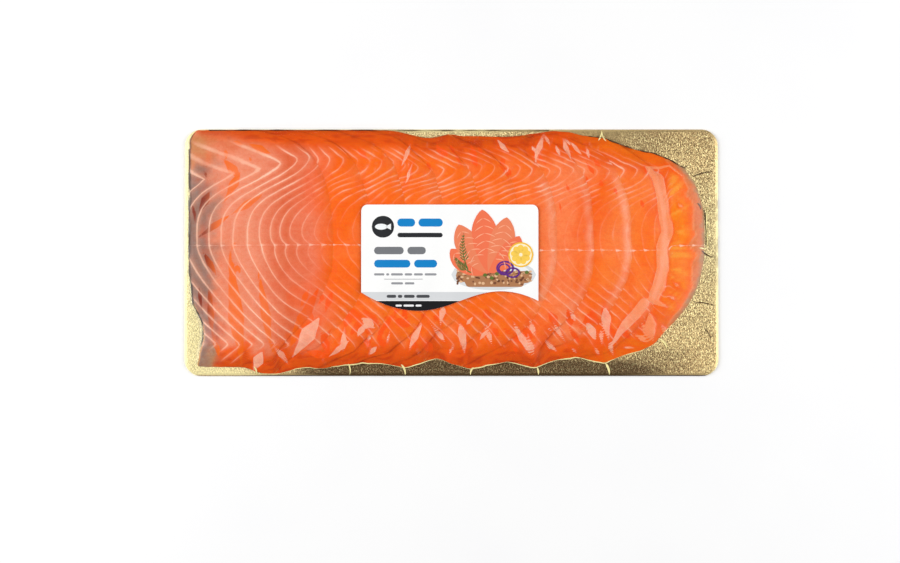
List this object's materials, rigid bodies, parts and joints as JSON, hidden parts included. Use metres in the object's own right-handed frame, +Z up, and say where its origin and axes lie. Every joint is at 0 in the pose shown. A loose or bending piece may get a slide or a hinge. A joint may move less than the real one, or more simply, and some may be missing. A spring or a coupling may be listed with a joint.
{
  "type": "pack of smoked salmon",
  "caption": "Sliced side of smoked salmon on a gold card with rounded corners, under clear film drawn tight to the card, with a paper label.",
  "frame": {"origin": "centre of the card's underside, which is the bottom centre of the whole", "axes": "+X along the card towards the tail end of the fish, +Y across the card towards its upper edge, +Z up out of the card's face"},
  "size_m": [0.36, 0.1666, 0.0161],
  "materials": {
    "card": "gold metallised face with a fine embossed grain, satin gloss",
    "fish": "moist smoked salmon, orange with pale bands",
    "film": "clear, glossy, drawn tight with small creases",
    "label": "coated paper, semi-gloss, printed"
  },
  "bodies": {
    "root": {"card": "card", "slice_01": "fish", "slice_02": "fish", "slice_03": "fish", "slice_04": "fish", "slice_05": "fish", "slice_06": "fish", "slice_07": "fish", "slice_08": "fish", "slice_09": "fish", "slice_10": "fish", "slice_11": "fish", "film": "film", "label": "label"}
  },
  "joints": []
}
